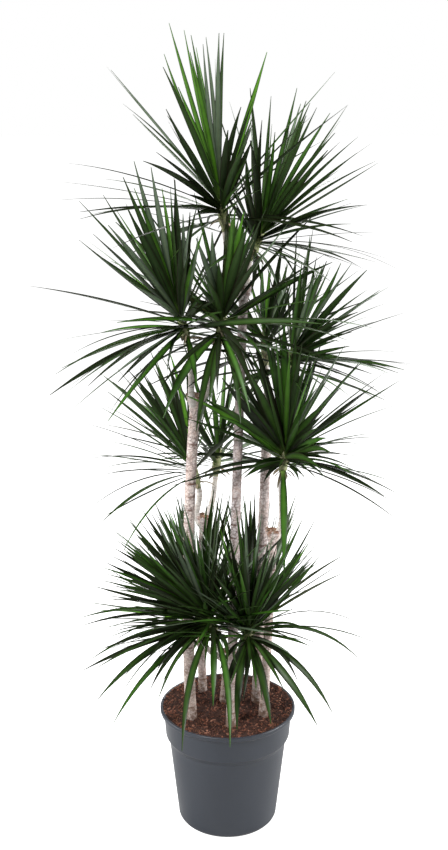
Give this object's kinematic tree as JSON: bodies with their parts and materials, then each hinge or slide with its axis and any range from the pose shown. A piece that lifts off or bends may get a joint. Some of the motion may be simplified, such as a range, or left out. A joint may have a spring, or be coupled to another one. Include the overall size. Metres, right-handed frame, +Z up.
{
  "type": "potted madagascar dragon tree",
  "caption": "Tall Madagascar dragon tree in a grey nursery pot: cut canes of different heights whose side shoots end in rosettes of long narrow arching leaves.",
  "frame": {"origin": "middle of the pot's flat underside", "axes": "+Z up along the pot's axis, -Y towards the side that the picture shows, +X to the right in the picture"},
  "size_m": [0.7945, 0.8088, 1.7515],
  "materials": {
    "pot_plastic": "satin slate grey moulded plastic",
    "potting_soil": "coarse reddish brown peat and bark",
    "cane_bark": "pale bark with brown leaf scars",
    "shoot_bark": "smooth young grey-beige bark with fine rings",
    "leaf_green": "glossy dark green leaf with a thin red-brown margin"
  },
  "bodies": {
    "root": {"pot": "pot_plastic", "soil": "potting_soil", "cane_back_left": "cane_bark", "cane_back_right": "cane_bark", "cane_front": "cane_bark", "cane_front_left": "cane_bark", "cane_low": "cane_bark", "cane_right": "cane_bark", "shoot_low_back": "shoot_bark", "shoot_low_front": "shoot_bark", "shoot_low_left": "shoot_bark", "shoot_low_right": "shoot_bark", "shoot_middle_back": "shoot_bark", "shoot_middle_left": "shoot_bark", "shoot_middle_right": "shoot_bark", "shoot_top_left": "shoot_bark", "shoot_top_right": "shoot_bark", "shoot_upper_back": "shoot_bark", "shoot_upper_front": "shoot_bark", "shoot_upper_left": "shoot_bark", "shoot_upper_right": "shoot_bark", "head_low_back": "leaf_green", "head_low_front": "leaf_green", "head_low_left": "leaf_green", "head_low_right": "leaf_green", "head_middle_back": "leaf_green", "head_middle_left": "leaf_green", "head_middle_right": "leaf_green", "head_top_left": "leaf_green", "head_top_right": "leaf_green", "head_upper_back": "leaf_green", "head_upper_front": "leaf_green", "head_upper_left": "leaf_green", "head_upper_right": "leaf_green"}
  },
  "joints": []
}
